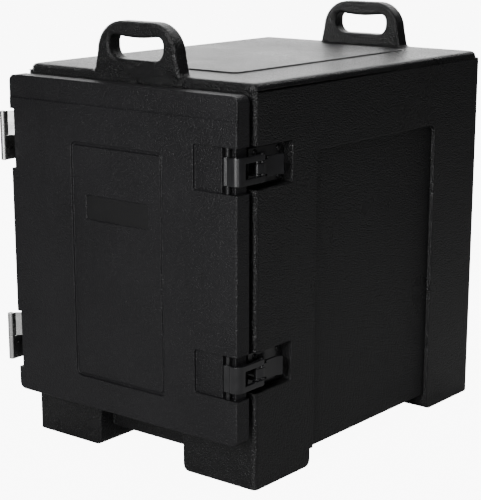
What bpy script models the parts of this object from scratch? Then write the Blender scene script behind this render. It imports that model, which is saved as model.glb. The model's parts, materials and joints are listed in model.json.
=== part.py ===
"""Front-loading insulated food carrier: a roto-moulded box with a hinged door.

Everything is in metres with +Z up and the door facing -Y.  The pieces are modelled round the
middle of the body's footprint, and the "carrier" empty moves them so that the middle of the
whole object's base sits at the world's origin.
"""

import math

import bmesh
import bpy
from mathutils import Vector

GAP = 0.0003                      # clearance between pieces that touch

# Body, measured from the middle of its footprint
BODY_HALF_WIDTH = 0.215
BODY_HALF_DEPTH = 0.2904
BODY_BOTTOM = 0.0255              # underside between the feet
SHOULDER = 0.560                  # ledge where the top slab starts
BODY_TOP = 0.570
SHELL_WALL = 0.005
FOOT_INNER_X = 0.082
FOOT_INNER_Y = 0.160
ARCH_TOP = 0.070
ARCH_DEPTH = 0.028
SIDE_RECESS_FRONT = -0.1525
SIDE_RECESS_BACK = 0.160
SIDE_RECESS_TOP = 0.466
SIDE_RECESS_DEPTH = 0.006

# Handles moulded on the top slab
HANDLE_HALF_WIDTH = 0.0785
HANDLE_TOP = 0.640
HANDLE_DEPTH = 0.028
SLOT_HALF_WIDTH = 0.049
SLOT_LOW = 0.588
SLOT_HIGH = 0.6205

# Food cavity: takes 530 x 325 mm pans on moulded ledges
CAVITY_HALF_WIDTH = 0.169
CAVITY_BOTTOM = 0.110
CAVITY_TOP = 0.522
CAVITY_DEPTH = 0.545
LINER_WALL = 0.004
FLANGE_HALF_WIDTH = 0.192
FLANGE_MARGIN = 0.0172            # flange's reach above and below the cavity
LEDGE_COUNT = 5
LEDGE_FIRST = 0.150
LEDGE_PITCH = 0.072
LEDGE_HEIGHT = 0.010
LEDGE_REACH = 0.013

# Door
DOOR_HALF_WIDTH = 0.2145
DOOR_BOTTOM = 0.0757
DOOR_TOP = 0.5569
DOOR_FRONT = -0.3305
DOOR_BACK = -0.3030
DOOR_CORNER = 0.010
BAND_BOTTOM = 0.5245              # upper band, set back from the rest of the front
BAND_SETBACK = 0.0015
PANEL_CENTRE_X = -0.003
PANEL_HALF_WIDTH = 0.087
PANEL_BOTTOM = 0.1225
PANEL_TOP = 0.4705
PANEL_DEPTH = 0.0010
GROOVE_WIDTH = 0.0045
GROOVE_DEPTH = 0.0035
PLATE_HALF_WIDTH = 0.060
PLATE_BOTTOM = 0.3605
PLATE_TOP = 0.3955
PLATE_DEPTH = 0.0022
DOOR_FRONT_WALL = 0.008
DOOR_LIP = 0.0147
BACK_PLATE = 0.0037
PLUG_HALF_WIDTH = 0.163
PLUG_BOTTOM = 0.116
PLUG_TOP = 0.516
PLUG_BACK = -0.262
GASKET_OUTER_X = 0.187
GASKET_INNER_X = 0.172

# Hinges: lift-off pairs on the left, outside the door's front corner
HINGE_X = -0.2245
HINGE_Y = -0.3345
HINGE_HEIGHTS = {"upper": 0.4665, "lower": 0.1585}
KNUCKLE_RADIUS = 0.00475
KNUCKLE_HEIGHT = 0.0362
PIN_RADIUS = 0.0025
BORE_CLEARANCE = 0.00008
LEAF = 0.002
HINGE_POCKET_DEPTH = 0.0085
HINGE_POCKET_UP = 0.0405
HINGE_POCKET_DOWN = 0.0475

# Draw latches on the right
LATCH_HEIGHTS = {"upper": 0.458, "lower": 0.173}
LATCH_POCKET_FLOOR = 0.197
LATCH_POCKET_BACK = -0.208
LATCH_POCKET_HALF = 0.029
DOOR_POCKET_LEFT = 0.139
DOOR_POCKET_HALF = 0.031
DOOR_POCKET_DEPTH = 0.0045
DOOR_SIDE_POCKET = 0.2095
SLOT_LEFT = 0.186
SLOT_RIGHT = 0.206
SLOT_BOTTOM = -0.3175
KEEPER = Vector((0.1957, -0.3255))
KEEPER_RADIUS = 0.003
KEEPER_HALF = 0.0345
LEVER_AXIS = Vector((0.2140, -0.2860))
HOOK_AXIS = Vector((0.2155, -0.2772))
LATCH_PIN_RADIUS = 0.0020
BASE_THICKNESS = 0.003
EAR_INNER = 0.0074
EAR_OUTER = 0.0102
ARM_INNER = 0.0105
ARM_OUTER = 0.0190

SCREW_RADIUS = 0.0024
SCREW_HEAD_RADIUS = 0.0042
SCREW_HEAD_HEIGHT = 0.0020
SCREW_GRIP = 0.0038               # how far a screw goes into the moulding

# The middle of the whole object's base, as seen from the middle of the body
OBJECT_CENTRE = Vector((-0.004875, -0.024425, 0.0))

MATERIALS = {
    "polyethylene": ((0.018, 0.018, 0.020, 1.0), 0.55, 0.0),
    "foam": ((0.85, 0.78, 0.55, 1.0), 0.9, 0.0),
    "rubber": ((0.03, 0.03, 0.03, 1.0), 0.8, 0.0),
    "nylon": ((0.012, 0.012, 0.013, 1.0), 0.25, 0.0),
    "stainless": ((0.72, 0.72, 0.70, 1.0), 0.25, 1.0),
    "black_steel": ((0.02, 0.02, 0.02, 1.0), 0.35, 0.4),
}


# Outlines ----------------------------------------------------------------------------------

def arc(centre, radius, start, end, steps):
    """Points on an arc, with the angles in degrees."""
    points = []
    for step in range(steps + 1):
        angle = math.radians(start + (end - start) * step / steps)
        points.append((centre[0] + radius * math.cos(angle), centre[1] + radius * math.sin(angle)))
    return points


def rectangle(low, high, radius=0.0, steps=3, rounded=(True, True, True, True)):
    """A rectangle's outline; the corners run from bottom left, anticlockwise."""
    corners = [((low[0], low[1]), 180), ((high[0], low[1]), 270), ((high[0], high[1]), 0), ((low[0], high[1]), 90)]
    points = []
    for (corner, start), is_round in zip(corners, rounded):
        if not is_round or radius == 0.0:
            points.append(corner)
            continue
        inward = (1 if corner[0] == low[0] else -1, 1 if corner[1] == low[1] else -1)
        centre = (corner[0] + inward[0] * radius, corner[1] + inward[1] * radius)
        points += arc(centre, radius, start, start + 90, steps)
    return points


def circle(centre, radius, steps=24):
    return arc(centre, radius, 0, 360 - 360 / steps, steps - 1)


def link(a, radius_a, b, radius_b, steps=6):
    """The outline of a belt drawn tight round two circles."""
    direction = Vector(b) - Vector(a)
    heading = math.degrees(math.atan2(direction.y, direction.x))
    spread = math.degrees(math.acos((radius_a - radius_b) / direction.length))
    far_end = arc(b, radius_b, heading - spread, heading + spread, steps)
    near_end = arc(a, radius_a, heading + spread, heading - spread + 360, steps)
    return far_end + near_end


def channel(half_width, height, flare, floor=-0.01, steps=3):
    """A foot channel's section: straight sides that flare out where they meet the ground."""
    left = arc((-half_width - flare, flare), flare, 270, 360, steps)
    right = arc((half_width + flare, flare), flare, 180, 270, steps)
    top = [(half_width, height), (-half_width, height)]
    outline = [(-half_width - flare, floor), (half_width + flare, floor)]
    return outline + right[::-1] + top + left[::-1]


def handle_outline():
    """The handle's front view: a tapered base with big round shoulders."""
    base = HANDLE_HALF_WIDTH
    bulge = 0.045
    shoulder = (base - 0.0045 - bulge, HANDLE_TOP - bulge)
    right = arc(shoulder, bulge, 0, 90, 6)
    left = [(-x, z) for x, z in right][::-1]
    foot = SHOULDER - 0.004
    neck = BODY_TOP + 0.004
    return [(-base, foot), (base, foot), (base, neck)] + right + left + [(-base, neck)]


def slot_outline():
    """The finger slot, with a grip that swells down in the middle."""
    corner = 0.0145
    low = (-SLOT_HALF_WIDTH, SLOT_LOW)
    high = (SLOT_HALF_WIDTH, SLOT_HIGH)
    outline = rectangle(low, high, corner, 4)
    swell = 0.0025
    return outline[:15] + [(0.0, SLOT_HIGH - swell)] + outline[15:]


# Solids ------------------------------------------------------------------------------------

def add_object(name, mesh):
    thing = bpy.data.objects.new(name, mesh)
    bpy.context.scene.collection.objects.link(thing)
    return thing


def prism(name, outline, axis, low, high):
    """Pushes an outline along an axis.  Outlines are (y, z) for X, (x, z) for Y, (x, y) for Z."""
    place = {
        "X": lambda a, b, along: (along, a, b),
        "Y": lambda a, b, along: (a, along, b),
        "Z": lambda a, b, along: (a, b, along),
    }[axis]
    mesh = bpy.data.meshes.new(name)
    shape = bmesh.new()
    face = shape.faces.new([shape.verts.new(place(a, b, low)) for a, b in outline])
    pushed = bmesh.ops.extrude_face_region(shape, geom=[face])
    moved = [item for item in pushed["geom"] if isinstance(item, bmesh.types.BMVert)]
    bmesh.ops.translate(shape, vec=Vector(place(0.0, 0.0, high - low)), verts=moved)
    bmesh.ops.recalc_face_normals(shape, faces=shape.faces)
    shape.to_mesh(mesh)
    shape.free()
    return add_object(name, mesh)


def box(name, low, high):
    return prism(name, rectangle(low[:2], high[:2]), "Z", low[2], high[2])


def rod(name, centre, radius, axis, low, high, steps=24):
    return prism(name, circle(centre, radius, steps), axis, low, high)


def bake(thing):
    """Turns an object's modifiers into its mesh."""
    seen = thing.evaluated_get(bpy.context.evaluated_depsgraph_get())
    mesh = bpy.data.meshes.new_from_object(seen)
    thing.modifiers.clear()
    thing.data = mesh
    return thing


def combine(thing, others, operation):
    """Joins or cuts an object with others, which are used up."""
    for other in others:
        modifier = thing.modifiers.new("Boolean", "BOOLEAN")
        modifier.operation = operation
        modifier.solver = "EXACT"
        modifier.object = other
        bake(thing)
        bpy.data.objects.remove(other)
    return thing


def cut(thing, *others):
    return combine(thing, others, "DIFFERENCE")


def join(thing, *others):
    return combine(thing, others, "UNION")


def round_edges(thing, width, segments, chosen):
    """Bevels the sharp edges whose middles pass the test."""
    shape = bmesh.new()
    shape.from_mesh(thing.data)
    edges = []
    for edge in shape.edges:
        is_sharp = len(edge.link_faces) == 2 and edge.calc_face_angle() > math.radians(30)
        if is_sharp and chosen((edge.verts[0].co + edge.verts[1].co) / 2):
            edges.append(edge)
    bmesh.ops.bevel(shape, geom=edges, offset=width, segments=segments, profile=0.5, affect="EDGES")
    shape.to_mesh(thing.data)
    shape.free()
    return thing


def near(value, target):
    return abs(value - target) < 0.0001


def material(name):
    if name in bpy.data.materials:
        return bpy.data.materials[name]
    colour, roughness, metallic = MATERIALS[name]
    made = bpy.data.materials.new(name)
    made.use_nodes = True
    shader = made.node_tree.nodes["Principled BSDF"]
    shader.inputs["Base Color"].default_value = colour
    shader.inputs["Roughness"].default_value = roughness
    shader.inputs["Metallic"].default_value = metallic
    return made


def finish(thing, surface, origin=None):
    """Gives a piece its material, and puts its origin on its joint's axis where it moves."""
    thing.data.materials.clear()
    thing.data.materials.append(material(surface))
    if origin is not None:
        thing.data.transform(thing.matrix_world.Translation(-Vector(origin)))
        thing.location = origin
    thing.data.shade_smooth()
    thing.data.set_sharp_from_angle(angle=math.radians(30))
    thing.parent = bpy.data.objects["carrier"]
    return thing


# Body --------------------------------------------------------------------------------------

def latch_pocket(height, depth=0.0):
    """The space for a latch on the body's right side, or a thicker block round it."""
    low = (-BODY_HALF_DEPTH - 0.01, height - LATCH_POCKET_HALF - depth)
    high = (LATCH_POCKET_BACK + depth, height + LATCH_POCKET_HALF + depth)
    outline = rectangle(low, high, 0.004, 2, (False, True, True, False))
    return prism("latch_pocket", outline, "X", LATCH_POCKET_FLOOR - depth, BODY_HALF_WIDTH + 0.01)


def arch(side, depth=0.0):
    """The set-back between the feet under the door (side -1) or at the back (side 1)."""
    half = FOOT_INNER_X + depth
    top = ARCH_TOP + depth
    outline = rectangle((-half, -0.01), (half, top), 0.025, 4, (False, False, True, True))
    inner = side * (BODY_HALF_DEPTH - ARCH_DEPTH - depth)
    outer = side * (BODY_HALF_DEPTH + 0.01)
    return prism("arch", outline, "Y", min(inner, outer), max(inner, outer))


def body_space(inset):
    """The space inside the outer shell, drawn in on all sides by the inset."""
    half_width = BODY_HALF_WIDTH - SIDE_RECESS_DEPTH - SHELL_WALL - inset
    half_depth = BODY_HALF_DEPTH - SHELL_WALL - inset
    low = (-half_width, -half_depth, BODY_BOTTOM + SHELL_WALL + inset)
    high = (half_width, half_depth, BODY_TOP - SHELL_WALL - inset)
    space = box("body_space", low, high)
    around = SHELL_WALL + inset
    blocks = [latch_pocket(height, around) for height in LATCH_HEIGHTS.values()]
    return cut(space, *blocks, arch(-1, around), arch(1, around))


def moulded_handle(side):
    """One carrying handle, flush with the front or back of the body."""
    outer = side * (BODY_HALF_DEPTH - 0.0010)
    inner = side * (BODY_HALF_DEPTH - HANDLE_DEPTH)
    low, high = min(inner, outer), max(inner, outer)
    handle = prism("handle", handle_outline(), "Y", low, high)
    round_edges(handle, 0.0055, 3, lambda middle: middle.z > SHOULDER)
    slot = prism("slot", slot_outline(), "Y", low - 0.01, high + 0.01)
    return cut(handle, slot)


def outer_shell():
    width, depth = BODY_HALF_WIDTH, BODY_HALF_DEPTH
    outline = rectangle((-width, -depth), (width, depth), 0.007)
    shell = prism("body_outer_shell", outline, "Z", 0.0, SHOULDER)
    round_edges(shell, 0.0015, 1, lambda middle: near(middle.z, SHOULDER))
    outline = rectangle((-width + 0.0025, -depth + 0.0005), (width - 0.0025, depth - 0.0025), 0.011)
    slab = prism("top_slab", outline, "Z", SHOULDER - 0.01, BODY_TOP)
    round_edges(slab, 0.008, 3, lambda middle: near(middle.z, BODY_TOP))
    plateau = prism("plateau", rectangle((-0.118, -0.212), (0.118, 0.222), 0.012), "Z", SHOULDER, BODY_TOP + 0.002)
    join(shell, slab, plateau, moulded_handle(-1), moulded_handle(1))

    length = prism("length_channel", channel(FOOT_INNER_X, BODY_BOTTOM, 0.010), "Y", -depth - 0.01, depth + 0.01)
    across = prism("cross_channel", channel(FOOT_INNER_Y, BODY_BOTTOM, 0.010), "X", -width - 0.01, width + 0.01)
    cut(shell, length, across, arch(-1), arch(1))

    low = (SIDE_RECESS_FRONT, -0.01)
    high = (SIDE_RECESS_BACK, SIDE_RECESS_TOP)
    recess = rectangle(low, high, 0.012, 3, (False, False, True, True))
    floor = width - SIDE_RECESS_DEPTH
    cut(shell, prism("recess", recess, "X", floor, width + 0.01), prism("recess", recess, "X", -width - 0.01, -floor))
    cut(shell, *[latch_pocket(height) for height in LATCH_HEIGHTS.values()])

    reach = FLANGE_HALF_WIDTH + GAP
    low = (-reach, -depth - 0.01, CAVITY_BOTTOM - FLANGE_MARGIN - GAP)
    high = (reach, -depth + 0.02, CAVITY_TOP + FLANGE_MARGIN + GAP)
    cut(shell, body_space(0.0), box("front_opening", low, high))
    holes = [screw_hole(place, "X", 1) for place in body_leaf_screws()]
    holes += [screw_hole(place, "X", -1) for place in latch_base_screws()]
    return finish(cut(shell, *holes), "polyethylene")


def insulation():
    """Foam between the outer shell and the liner."""
    foam = body_space(GAP)
    foam.name = "body_insulation"
    wall = LINER_WALL + GAP
    low = (-CAVITY_HALF_WIDTH - wall, -BODY_HALF_DEPTH - 0.01, CAVITY_BOTTOM - wall)
    high = (CAVITY_HALF_WIDTH + wall, -BODY_HALF_DEPTH + CAVITY_DEPTH + wall, CAVITY_TOP + wall)
    return finish(cut(foam, box("liner_space", low, high)), "foam")


def liner():
    """The food cavity's wall, with its front flange and its pan ledges."""
    front = -BODY_HALF_DEPTH
    back = front + CAVITY_DEPTH
    wall = LINER_WALL
    half = CAVITY_HALF_WIDTH
    liner = box("body_liner", (-half - wall, front, CAVITY_BOTTOM - wall), (half + wall, back + wall, CAVITY_TOP + wall))
    low = (-FLANGE_HALF_WIDTH, CAVITY_BOTTOM - FLANGE_MARGIN)
    high = (FLANGE_HALF_WIDTH, CAVITY_TOP + FLANGE_MARGIN)
    flange = prism("flange", rectangle(low, high), "Y", front, front + SHELL_WALL - GAP)
    join(liner, flange)
    cavity = rectangle((-half, CAVITY_BOTTOM), (half, CAVITY_TOP), 0.012)
    cut(liner, prism("cavity", cavity, "Y", front - 0.01, back))
    for side in (-1, 1):
        for level in range(LEDGE_COUNT):
            bottom = LEDGE_FIRST + level * LEDGE_PITCH
            ends = sorted((side * (half + 0.001), side * (half - LEDGE_REACH)))
            ledge = box("ledge", (ends[0], front + 0.045, bottom), (ends[1], back + 0.001, bottom + LEDGE_HEIGHT))
            join(liner, ledge)
    return finish(liner, "polyethylene")


# Door --------------------------------------------------------------------------------------

def door_pockets():
    """Everything cut into the door's edges for the hinges and the latches."""
    pockets = []
    for height in HINGE_HEIGHTS.values():
        low = (-DOOR_HALF_WIDTH - 0.01, DOOR_FRONT - 0.01, height - HINGE_POCKET_DOWN)
        high = (-DOOR_HALF_WIDTH + HINGE_POCKET_DEPTH, DOOR_BACK + 0.01, height + HINGE_POCKET_UP)
        pockets.append(box("hinge_pocket", low, high))
    for height in LATCH_HEIGHTS.values():
        low, high = height - DOOR_POCKET_HALF, height + DOOR_POCKET_HALF
        right = DOOR_HALF_WIDTH + 0.01
        front = DOOR_FRONT - 0.01
        recess = rectangle((DOOR_POCKET_LEFT, low), (right, high), 0.003, 2, (True, False, False, True))
        pockets.append(prism("latch_recess", recess, "Y", front, DOOR_FRONT + DOOR_POCKET_DEPTH))
        pockets.append(box("keeper_slot", (SLOT_LEFT, front, low), (SLOT_RIGHT, SLOT_BOTTOM, high)))
        pockets.append(box("side_recess", (DOOR_SIDE_POCKET, front, low), (right, DOOR_BACK + 0.01, high)))
        span = (height - KEEPER_HALF - GAP, height + KEEPER_HALF + GAP)
        pockets.append(rod("keeper_hole", KEEPER, KEEPER_RADIUS + BORE_CLEARANCE, "Z", *span))
    return pockets


def door_space(inset, back):
    """The space inside the door's front shell."""
    edge = DOOR_LIP + inset
    low = (-DOOR_HALF_WIDTH + edge, DOOR_FRONT + DOOR_FRONT_WALL + inset, DOOR_BOTTOM + edge)
    high = (DOOR_HALF_WIDTH - edge, back, DOOR_TOP - edge)
    space = box("door_space", low, high)
    blocks = []
    for height in LATCH_HEIGHTS.values():
        half = DOOR_POCKET_HALF + SHELL_WALL + inset
        low = (SLOT_LEFT - SHELL_WALL - inset, DOOR_FRONT, height - half)
        high = (DOOR_HALF_WIDTH, DOOR_BACK - BACK_PLATE - GAP, height + half)
        blocks.append(box("keeper_block", low, high))
    return cut(space, *blocks)


def door_front():
    low = (-DOOR_HALF_WIDTH, DOOR_BOTTOM)
    high = (DOOR_HALF_WIDTH, DOOR_TOP)
    shell = prism("door_outer_shell", rectangle(low, high, DOOR_CORNER, 4), "Y", DOOR_FRONT, DOOR_BACK)
    round_edges(shell, 0.002, 2, lambda middle: near(middle.y, DOOR_FRONT))
    band_low = (-DOOR_HALF_WIDTH - 0.01, DOOR_FRONT - 0.01, BAND_BOTTOM)
    band_high = (DOOR_HALF_WIDTH + 0.01, DOOR_FRONT + BAND_SETBACK, DOOR_TOP + 0.01)
    cut(shell, box("band", band_low, band_high))

    low = (PANEL_CENTRE_X - PANEL_HALF_WIDTH, PANEL_BOTTOM)
    high = (PANEL_CENTRE_X + PANEL_HALF_WIDTH, PANEL_TOP)
    panel = prism("panel", rectangle(low, high, 0.008), "Y", DOOR_FRONT - 0.01, DOOR_FRONT + PANEL_DEPTH)
    groove = prism("groove", rectangle(low, high, 0.008), "Y", DOOR_FRONT, DOOR_FRONT + GROOVE_DEPTH)
    inner_low = (low[0] + GROOVE_WIDTH, low[1] + GROOVE_WIDTH)
    inner_high = (high[0] - GROOVE_WIDTH, high[1] - GROOVE_WIDTH)
    island = prism("island", rectangle(inner_low, inner_high, 0.005), "Y", DOOR_FRONT - 0.01, DOOR_FRONT + 0.01)
    low = (PANEL_CENTRE_X - PLATE_HALF_WIDTH, PLATE_BOTTOM)
    high = (PANEL_CENTRE_X + PLATE_HALF_WIDTH, PLATE_TOP)
    plate = prism("blank_plate", rectangle(low, high, 0.003, 2), "Y", DOOR_FRONT - 0.01, DOOR_FRONT + PLATE_DEPTH)
    cut(shell, cut(groove, island), panel, plate, *door_pockets(), door_space(0.0, DOOR_BACK + 0.01))
    cut(shell, *[screw_hole(place, "X", 1) for place in door_leaf_screws()])
    return finish(shell, "polyethylene", hinge_origin())


def door_back():
    """The door's inner face: a plate with the hollow plug that fills the cavity's mouth."""
    edge = DOOR_LIP + GAP
    front = DOOR_BACK - BACK_PLATE
    shell = box(
        "door_inner_shell",
        (-DOOR_HALF_WIDTH + edge, front, DOOR_BOTTOM + edge),
        (DOOR_HALF_WIDTH - edge, DOOR_BACK, DOOR_TOP - edge),
    )
    outline = rectangle((-PLUG_HALF_WIDTH, PLUG_BOTTOM), (PLUG_HALF_WIDTH, PLUG_TOP), 0.010)
    plug = prism("plug", outline, "Y", front, PLUG_BACK)
    round_edges(plug, 0.004, 2, lambda middle: near(middle.y, PLUG_BACK))
    join(shell, plug)
    wall = LINER_WALL
    low = (-PLUG_HALF_WIDTH + wall, front - 0.01, PLUG_BOTTOM + wall)
    high = (PLUG_HALF_WIDTH - wall, PLUG_BACK - wall, PLUG_TOP - wall)
    return finish(cut(shell, box("plug_space", low, high)), "polyethylene", hinge_origin())


def door_insulation():
    """Foam between the door's two shells, running on into the plug."""
    front = DOOR_BACK - BACK_PLATE
    foam = door_space(GAP, front - GAP)
    foam.name = "door_insulation"
    wall = LINER_WALL + GAP
    low = (-PLUG_HALF_WIDTH + wall, front - 0.002, PLUG_BOTTOM + wall)
    high = (PLUG_HALF_WIDTH - wall, PLUG_BACK - wall, PLUG_TOP - wall)
    return finish(join(foam, box("plug_foam", low, high)), "foam", hinge_origin())


def door_gasket():
    """A square seal round the plug, which meets the liner's flange."""
    reach = GASKET_OUTER_X - CAVITY_HALF_WIDTH
    margin = FLANGE_MARGIN - 0.002
    low = (-CAVITY_HALF_WIDTH - reach, CAVITY_BOTTOM - margin)
    high = (CAVITY_HALF_WIDTH + reach, CAVITY_TOP + margin)
    start, end = DOOR_BACK + GAP, -BODY_HALF_DEPTH - GAP
    gasket = prism("door_gasket", rectangle(low, high, 0.010), "Y", start, end)
    low = (-GASKET_INNER_X, CAVITY_BOTTOM - 0.003)
    high = (GASKET_INNER_X, CAVITY_TOP + 0.003)
    inside = prism("inside", rectangle(low, high, 0.008), "Y", start - 0.01, end + 0.01)
    return finish(cut(gasket, inside), "rubber", hinge_origin())


# Hinges ------------------------------------------------------------------------------------

def hinge_origin():
    return (HINGE_X, HINGE_Y, 0.0)


def knuckle(name, low, high):
    return rod(name, (HINGE_X, HINGE_Y), KNUCKLE_RADIUS, "Z", low, high, 32)


def strip(name, path, low, high):
    """A bent plate whose middle line in plan is the path."""
    lines = [Vector(point) for point in path]
    left, right = [], []
    for index, point in enumerate(lines):
        before = lines[max(index - 1, 0)]
        after = lines[min(index + 1, len(lines) - 1)]
        along = ((point - before).normalized() + (after - point).normalized()).normalized()
        across = Vector((-along.y, along.x))
        turn = along.dot((after - before).normalized()) if index in (0, len(lines) - 1) else 1.0
        spread = LEAF / 2 / max(turn, 0.9)
        left.append(tuple(point + across * spread))
        right.append(tuple(point - across * spread))
    return prism(name, right + left[::-1], "Z", low, high)


def door_leaf_screws(height=None):
    heights = HINGE_HEIGHTS.values() if height is None else [height]
    face = -DOOR_HALF_WIDTH + HINGE_POCKET_DEPTH
    return [(face, -0.3105, middle + up) for middle in heights for up in (0.009, 0.027)]


def body_leaf_screws(height=None):
    heights = HINGE_HEIGHTS.values() if height is None else [height]
    places = ((-0.276, -0.018), (-0.257, -0.009), (-0.257, -0.027))
    return [(-BODY_HALF_WIDTH, y, middle + up) for middle in heights for y, up in places]


def hinge(which):
    """A lift-off hinge: the door's knuckle drops over a pin fixed in the body's knuckle."""
    middle = HINGE_HEIGHTS[which]
    tangent = HINGE_X + KNUCKLE_RADIUS - LEAF / 2
    door_face = -DOOR_HALF_WIDTH + HINGE_POCKET_DEPTH - GAP - LEAF / 2
    body_face = -BODY_HALF_WIDTH - GAP - LEAF / 2
    bore = PIN_RADIUS + BORE_CLEARANCE

    low, high = middle + GAP / 2, middle + KNUCKLE_HEIGHT
    leaf = knuckle(f"{which}_hinge_door_leaf", low, high)
    path = [(tangent, HINGE_Y), (tangent, HINGE_Y + 0.006), (door_face, HINGE_Y + 0.018), (door_face, DOOR_BACK - 0.001)]
    join(leaf, strip("plate", path, low, high))
    cut(leaf, rod("bore", (HINGE_X, HINGE_Y), bore, "Z", low - 0.001, high + 0.001, 32))
    cut(leaf, *[clearance_hole(place, "X") for place in door_leaf_screws(middle)])
    finish(leaf, "stainless", hinge_origin())

    low, high = middle - KNUCKLE_HEIGHT, middle - GAP / 2
    leaf = knuckle(f"{which}_hinge_body_leaf", low, high)
    path = [(tangent, HINGE_Y), (tangent, -0.300), (body_face, -0.290), (body_face, -0.248)]
    join(leaf, strip("plate", path, low, high))
    cut(leaf, rod("bore", (HINGE_X, HINGE_Y), bore, "Z", low - 0.001, high + 0.001, 32))
    cut(leaf, *[clearance_hole(place, "X") for place in body_leaf_screws(middle)])
    finish(leaf, "stainless")

    low, high = middle - KNUCKLE_HEIGHT - 0.0008, middle + KNUCKLE_HEIGHT - 0.003
    pin = rod(f"{which}_hinge_pin", (HINGE_X, HINGE_Y), PIN_RADIUS, "Z", low, high, 32)
    finish(pin, "stainless")

    for number, place in enumerate(door_leaf_screws(middle), 1):
        screw(f"{which}_hinge_door_screw_{number}", place, "X", 1, LEAF, "stainless", hinge_origin())
    for number, place in enumerate(body_leaf_screws(middle), 1):
        screw(f"{which}_hinge_body_screw_{number}", place, "X", 1, LEAF, "stainless")


# Screws ------------------------------------------------------------------------------------

def flat(place, axis):
    """A place's two coordinates across an axis."""
    x, y, z = place
    return {"X": (y, z), "Y": (x, z)}[axis]


def along_axis(place, axis):
    return place["XY".index(axis)]


def screw_hole(place, axis, inward):
    """A blind hole that starts at the place and goes into the moulding."""
    start = along_axis(place, axis)
    ends = sorted((start - inward * 0.002, start + inward * (SCREW_GRIP + GAP)))
    return rod("screw_hole", flat(place, axis), SCREW_RADIUS + BORE_CLEARANCE, axis, *ends, 12)


def clearance_hole(place, axis):
    """A hole right through a thin plate that a screw holds down."""
    start = along_axis(place, axis)
    return rod("clearance_hole", flat(place, axis), SCREW_RADIUS + BORE_CLEARANCE, axis, start - 0.006, start + 0.006, 12)


def screw(name, place, axis, inward, plate, surface, origin=None):
    """A pan-head screw through a plate that lies on the place."""
    start = along_axis(place, axis)
    tip = start + inward * SCREW_GRIP
    seat = start - inward * (plate + 2 * GAP)
    top = seat - inward * SCREW_HEAD_HEIGHT
    made = rod(name, flat(place, axis), SCREW_HEAD_RADIUS, axis, *sorted((seat, top)), 16)
    round_edges(made, 0.0007, 1, lambda middle: near(along_axis(middle, axis), top))
    shank = rod("shank", flat(place, axis), SCREW_RADIUS, axis, *sorted((seat - inward * 0.0005, tip)), 12)
    return finish(join(made, shank), surface, origin)


# Latches -----------------------------------------------------------------------------------

def latch_base_screws(height=None):
    heights = LATCH_HEIGHTS.values() if height is None else [height]
    places = [(y, up) for y in (-0.2735, -0.2225) for up in (-0.0190, 0.0190)]
    return [(LATCH_POCKET_FLOOR, y, middle + up) for middle in heights for y, up in places]


def latch_base(which):
    """The plate on the pocket's floor, with two ears for the lever's pin."""
    middle = LATCH_HEIGHTS[which]
    bottom = LATCH_POCKET_FLOOR + GAP
    top = bottom + BASE_THICKNESS
    outline = rectangle((-0.2885, middle - 0.0255), (-0.2125, middle + 0.0255), 0.003, 2)
    base = prism(f"{which}_latch_base", outline, "X", bottom, top)
    foot = Vector((top + 0.001, LEVER_AXIS.y))
    for side in (-1, 1):
        ends = sorted((middle + side * EAR_INNER, middle + side * EAR_OUTER))
        outline = link(foot, 0.0052, LEVER_AXIS, 0.0040)
        join(base, prism("ear", outline, "Z", *ends))
    floor = box("floor", (bottom - 0.01, -0.30, middle - 0.03), (bottom, -0.20, middle + 0.03))
    cut(base, floor)
    cut(base, rod("pin_hole", LEVER_AXIS, LATCH_PIN_RADIUS + BORE_CLEARANCE, "Z", middle - 0.02, middle + 0.02))
    cut(base, *[clearance_hole(place, "X") for place in latch_base_screws(middle)])
    finish(base, "nylon")
    for number, place in enumerate(latch_base_screws(middle), 1):
        screw(f"{which}_latch_base_screw_{number}", place, "X", -1, BASE_THICKNESS, "black_steel")


def latch_lever(which):
    """The paddle that swings out to slacken the hook."""
    middle = LATCH_HEIGHTS[which]
    neck = EAR_INNER - GAP
    boss = EAR_OUTER
    lever = prism(f"{which}_latch_lever", link(LEVER_AXIS, 0.0038, HOOK_AXIS, 0.0036), "Z", middle - neck, middle + neck)
    barrel = rod("barrel", HOOK_AXIS, 0.0036, "Z", middle - boss, middle + boss)
    stem = [
        (HOOK_AXIS.x + 0.0015, HOOK_AXIS.y), (HOOK_AXIS.x - 0.0015, HOOK_AXIS.y + 0.009), (0.2140, -0.262),
        (0.2100, -0.262), (HOOK_AXIS.x - 0.0055, HOOK_AXIS.y + 0.009), (HOOK_AXIS.x - 0.0030, HOOK_AXIS.y),
    ]
    paddle = [(0.2100, -0.2640), (0.2140, -0.2640), (0.2140, -0.2420), (0.2185, -0.2330), (0.2160, -0.2312), (0.2100, -0.2400)]
    join(lever, barrel, prism("stem", stem, "Z", middle - boss, middle + boss))
    join(lever, prism("paddle", paddle, "Z", middle - 0.0138, middle + 0.0138))
    for axis in (LEVER_AXIS, HOOK_AXIS):
        cut(lever, rod("pin_hole", axis, LATCH_PIN_RADIUS + BORE_CLEARANCE, "Z", middle - 0.02, middle + 0.02))
    finish(lever, "nylon", (*LEVER_AXIS, middle))
    half = EAR_OUTER - 0.0002
    pin = rod(f"{which}_lever_pin", LEVER_AXIS, LATCH_PIN_RADIUS, "Z", middle - half, middle + half)
    finish(pin, "black_steel")


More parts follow.
